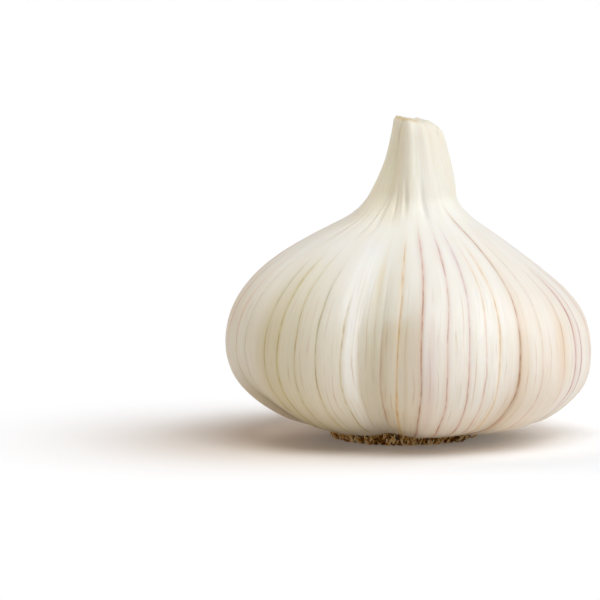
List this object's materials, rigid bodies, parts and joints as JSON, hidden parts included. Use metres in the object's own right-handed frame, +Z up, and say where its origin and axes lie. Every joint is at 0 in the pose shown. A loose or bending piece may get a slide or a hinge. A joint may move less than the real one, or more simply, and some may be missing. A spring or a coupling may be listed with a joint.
{
  "type": "garlic bulb",
  "caption": "Whole dry garlic bulb with papery ribbed skin over uneven cloves, a cut neck and a dished root plate, standing upright.",
  "frame": {"origin": "middle of the bulb's footprint, on the surface that it stands on", "axes": "+Z up along the neck, +X to the bulb's right as seen from the front, front faces -Y"},
  "size_m": [0.06, 0.0598, 0.053],
  "materials": {
    "skin": "dry papery skin, satin, off-white with thin purple, rust and straw veins",
    "root": "dry fibrous root tissue, matt, tan to dark brown"
  },
  "bodies": {
    "root": {"bulb": "skin", "root_plate": "root"}
  },
  "joints": []
}
